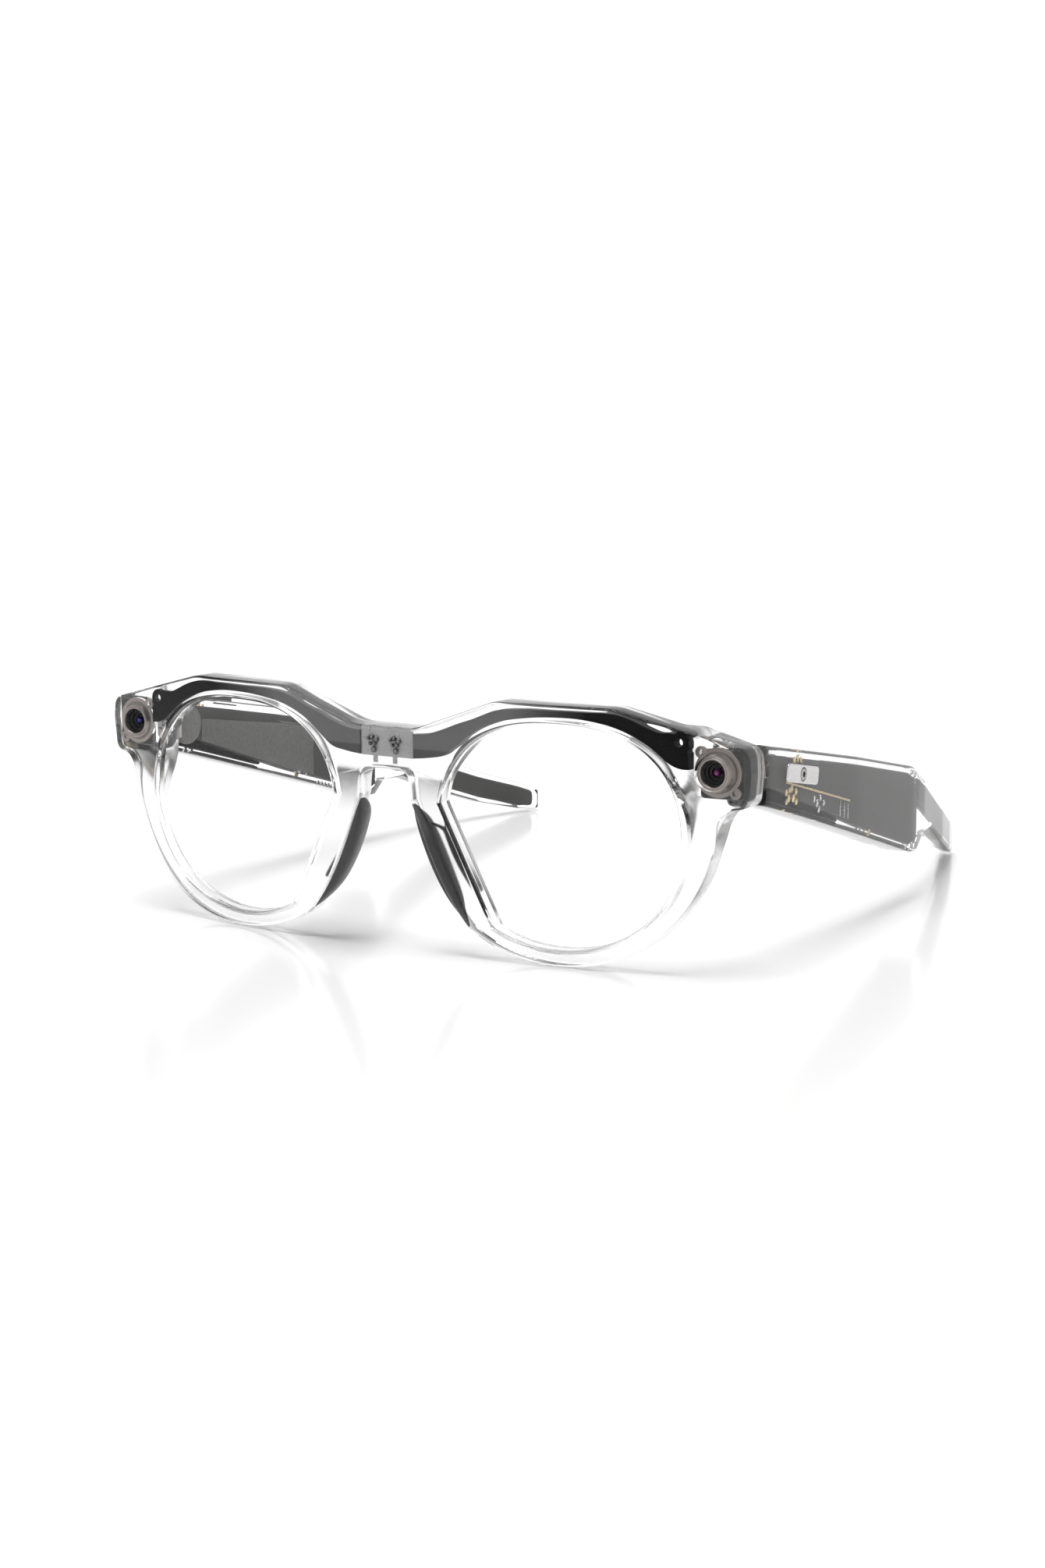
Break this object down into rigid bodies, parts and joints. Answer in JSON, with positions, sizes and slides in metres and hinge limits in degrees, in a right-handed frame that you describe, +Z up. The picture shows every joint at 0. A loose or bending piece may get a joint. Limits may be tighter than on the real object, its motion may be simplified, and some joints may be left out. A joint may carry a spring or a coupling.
{
  "type": "smart glasses",
  "caption": "Clear-framed smart glasses with a camera and capture light in the end pieces, soft nose pads, and folding temples that house the electronics.",
  "frame": {"origin": "on the surface that the glasses stand on, midway across the front and midway between the front of the brow and the temple tips", "axes": "+X towards the wearer's left, -Y forwards, the way the wearer looks, +Z up"},
  "size_m": [0.1456, 0.1494, 0.0495],
  "materials": {
    "clear_plastic": "polished crystal-clear plastic, glossy",
    "lens_clear": "clear lens with an anti-reflective coating",
    "soot_film": "satin, near black",
    "nose_rubber": "soft satin rubber",
    "smoke_plastic": "satin translucent grey",
    "contact_gold": "gold plated, satin",
    "taupe_metal": "brushed, warm grey",
    "black_barrel": "matt black",
    "black_glass": "coated optical glass, near black",
    "board_green": "solder mask, satin",
    "hinge_steel": "brushed",
    "graphite_plastic": "moulded, matt warm grey",
    "cell_foil": "satin foil",
    "badge_metal": "satin silver",
    "button_grey": "moulded, matt"
  },
  "bodies": {
    "front": {"front_frame": "clear_plastic", "brow_back_cover": "clear_plastic", "brow_plate_left": "soot_film", "brow_plate_right": "soot_film", "lens_left": "lens_clear", "lens_right": "lens_clear", "nose_pad_left": "nose_rubber", "nose_pad_right": "nose_rubber", "charge_block": "smoke_plastic", "charge_contact_1": "contact_gold", "charge_contact_2": "contact_gold", "eye_bracket_left": "taupe_metal", "eye_bracket_right": "taupe_metal", "eye_barrel_left": "black_barrel", "eye_barrel_right": "black_barrel", "eye_glass_left": "black_glass", "eye_glass_right": "black_glass", "eye_board_left": "board_green", "eye_board_right": "board_green", "hinge_front_left": "hinge_steel", "hinge_front_right": "hinge_steel", "hinge_screw_left": "hinge_steel", "hinge_screw_right": "hinge_steel"},
    "temple_left": {"temple_shell_left": "clear_plastic", "inner_cover_left": "clear_plastic", "electronics_tray_left": "graphite_plastic", "arm_core_left": "graphite_plastic", "battery_left": "cell_foil", "circuit_board_left": "board_green", "speaker_left": "black_barrel", "antenna_left": "contact_gold", "hinge_temple_left": "hinge_steel", "badge_left": "badge_metal", "badge_screw_left": "badge_metal"},
    "temple_right": {"temple_shell_right": "clear_plastic", "inner_cover_right": "clear_plastic", "electronics_tray_right": "graphite_plastic", "arm_core_right": "graphite_plastic", "battery_right": "cell_foil", "circuit_board_right": "board_green", "speaker_right": "black_barrel", "antenna_right": "contact_gold", "hinge_temple_right": "hinge_steel", "badge_right": "badge_metal", "badge_screw_right": "badge_metal", "touch_strip_right": "graphite_plastic"},
    "power_switch": {"power_switch": "button_grey"},
    "capture_button": {"capture_button": "button_grey"}
  },
  "joints": [
    {"name": "left_temple_fold", "type": "hinge", "parent": "front", "child": "temple_left", "pos_m": [0.0629, -0.05676, 0.0379], "axis": [0, 0, 1], "range_deg": [0, 87]},
    {"name": "right_temple_fold", "type": "hinge", "parent": "front", "child": "temple_right", "pos_m": [-0.0629, -0.05676, 0.0379], "axis": [0, 0, -1], "range_deg": [0, 76]},
    {"name": "power_switch_slide", "type": "slide", "parent": "temple_left", "child": "power_switch", "axis": [0, 1, 0], "range_m": [0, 0.002]},
    {"name": "capture_button_press", "type": "slide", "parent": "temple_right", "child": "capture_button", "axis": [0, -0.183, -0.9831], "range_m": [0, 0.0004], "stiffness_N_per_m": 400, "springref_m": -0.001}
  ]
}
